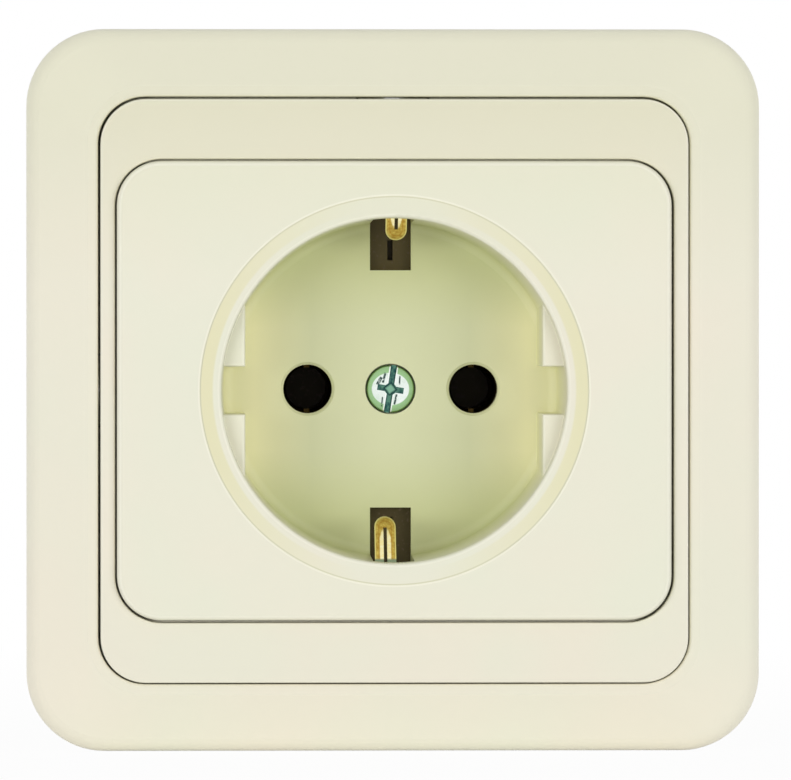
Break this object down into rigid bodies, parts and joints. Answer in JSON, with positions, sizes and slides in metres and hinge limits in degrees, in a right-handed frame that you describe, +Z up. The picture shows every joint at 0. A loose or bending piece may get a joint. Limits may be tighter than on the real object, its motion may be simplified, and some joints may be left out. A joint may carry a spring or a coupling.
{
  "type": "type f wall socket",
  "caption": "Flush wall socket for type F plugs: round recess with guide flats and earthing fingers, in a plate, bezel and square frame on a steel bracket.",
  "frame": {"origin": "centre of the four slots for the box screws, on the wall plane, on the axis of the plug recess", "axes": "+X to the right and +Z up seen from the room, +Y into the wall; the face looks along -Y"},
  "size_m": [0.0832, 0.0419, 0.0818],
  "materials": {
    "cream_cover": "satin",
    "cream_frame": "satin",
    "brown_base": "matte",
    "zinc_steel": "satin",
    "brass": "satin",
    "spring_steel": "satin"
  },
  "bodies": {
    "root": {"outer_frame": "cream_frame", "inner_bezel": "cream_frame", "socket_cover": "cream_cover", "cover_screw": "zinc_steel", "captive_nut": "brass", "support_bracket": "zinc_steel", "bracket_rivets": "zinc_steel", "socket_base": "brown_base", "base_lid": "brown_base", "lid_screws": "zinc_steel", "earth_bridge": "brass", "live_contact": "brass", "neutral_contact": "brass", "live_contact_spring": "spring_steel", "neutral_contact_spring": "spring_steel", "live_clamp_plate": "zinc_steel", "neutral_clamp_plate": "zinc_steel", "earth_clamp_plate": "zinc_steel", "live_terminal_screw": "zinc_steel", "neutral_terminal_screw": "zinc_steel", "earth_terminal_screw": "zinc_steel"}
  },
  "joints": []
}
